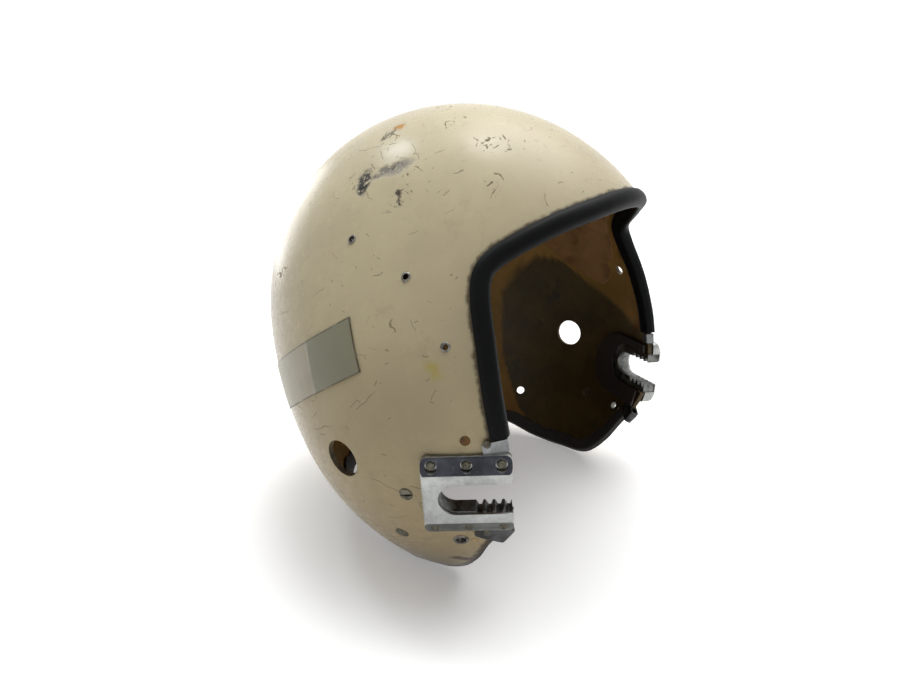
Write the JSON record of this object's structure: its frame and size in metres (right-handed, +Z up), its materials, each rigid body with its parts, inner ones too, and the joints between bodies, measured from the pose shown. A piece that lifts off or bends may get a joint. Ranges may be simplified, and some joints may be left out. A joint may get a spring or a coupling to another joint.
{
  "type": "open-face flying helmet shell",
  "caption": "Stripped open-face flying helmet shell with a rubber edge roll, a black lower band and toothed metal mask receivers on both cheeks.",
  "frame": {"origin": "on the ground under the middle of the bounding box", "axes": "+Z up, -Y the way the face looks, -X the wearer's right; X = 0 is the mirror plane"},
  "size_m": [0.2466, 0.2336, 0.2424],
  "materials": {
    "shell_paint": "glossy, yellowed and scratched enamel on fibreglass",
    "edge_rubber": "satin black rubber",
    "band_rubber": "dull black rubber",
    "lining": "thin tan cloth, stained",
    "tape": "old translucent tape with dirty edges",
    "polished_metal": "bright brushed",
    "dull_metal": "dull, worn",
    "dark_resin": "dark reddish brown",
    "rivet_metal": "dull",
    "clip_metal": "satin",
    "eyelet_metal": "dull",
    "screw_metal": "dull, worn",
    "plug_resin": "brown filler",
    "old_brass": "tarnished"
  },
  "bodies": {
    "root": {"shell": "shell_paint", "face_edge_roll": "edge_rubber", "lower_rim_band": "band_rubber", "brow_lining": "lining", "rear_tape": "tape", "receiver_right": "polished_metal", "receiver_left": "polished_metal", "tooth_liner_right": "dull_metal", "tooth_liner_left": "dull_metal", "inner_plate_right": "dark_resin", "inner_plate_left": "dark_resin", "upper_rivets_right": "rivet_metal", "upper_rivets_left": "rivet_metal", "lower_rivets_right": "rivet_metal", "lower_rivets_left": "rivet_metal", "upper_clip_right": "clip_metal", "upper_clip_left": "clip_metal", "lower_clip_right": "dull_metal", "lower_clip_left": "dull_metal", "clip_rivets_right": "rivet_metal", "clip_rivets_left": "rivet_metal", "visor_eyelets_right": "eyelet_metal", "visor_eyelets_left": "eyelet_metal", "strap_eyelet_right": "eyelet_metal", "strap_eyelet_left": "eyelet_metal", "slotted_screw_right": "screw_metal", "slotted_screw_left": "screw_metal", "nape_stud_right": "screw_metal", "nape_stud_left": "screw_metal", "resin_plug_right": "plug_resin", "resin_plug_left": "plug_resin", "cheek_rivet_right": "old_brass", "cheek_rivet_left": "old_brass"}
  },
  "joints": []
}
